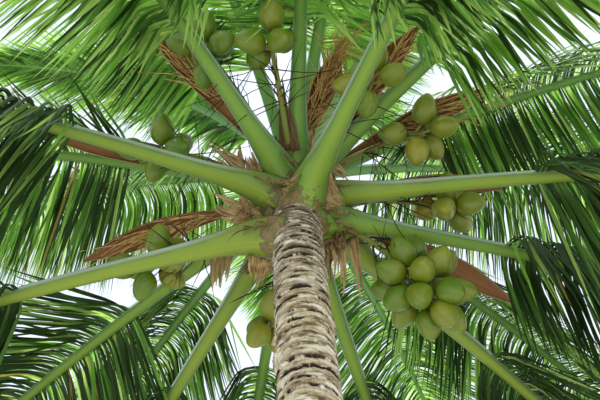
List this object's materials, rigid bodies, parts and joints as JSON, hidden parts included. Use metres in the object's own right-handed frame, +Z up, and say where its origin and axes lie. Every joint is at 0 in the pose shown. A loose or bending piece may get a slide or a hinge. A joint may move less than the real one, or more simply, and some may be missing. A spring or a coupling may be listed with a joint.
{
  "type": "coconut palm tree",
  "caption": "Coconut palm with a leaning ringed trunk, a flared foot, a full crown of arching feather fronds, and bunches of green nuts with boat-shaped spathes.",
  "frame": {"origin": "middle of the flat cut under the trunk, at ground level", "axes": "+Z up; the trunk leans towards -X; -Y is the side that the picture is taken from"},
  "size_m": [9.5916, 9.5893, 9.2307],
  "materials": {
    "bark": "matt, ringed with leaf scars",
    "frond": "satin green blades",
    "nut": "smooth waxy husk",
    "spathe": "dry and fibrous"
  },
  "bodies": {
    "root": {"bunch_1": "nut", "bunch_2": "nut", "bunch_3": "nut", "bunch_4": "nut", "bunch_5": "nut", "bunch_6": "nut", "bunch_7": "nut", "bunch_8": "nut", "bunch_9": "nut", "frond_00": "frond", "frond_01": "frond", "frond_03": "frond", "frond_04": "frond", "frond_05": "frond", "frond_06": "frond", "frond_07": "frond", "frond_08": "frond", "frond_09": "frond", "frond_10": "frond", "frond_11": "frond", "frond_12": "frond", "frond_13": "frond", "frond_14": "frond", "frond_15": "frond", "frond_16": "frond", "frond_17": "frond", "frond_18": "frond", "frond_19": "frond", "frond_20": "frond", "frond_21": "frond", "frond_22": "frond", "frond_23": "frond", "frond_24": "frond", "frond_25": "frond", "frond_26": "frond", "frond_27": "frond", "spathe_1": "spathe", "spathe_2": "spathe", "spathe_3": "spathe", "spathe_4": "spathe", "spathe_5": "spathe", "spathe_6": "spathe", "spathe_7": "spathe", "spathe_8": "spathe", "trunk": "bark"}
  },
  "joints": []
}
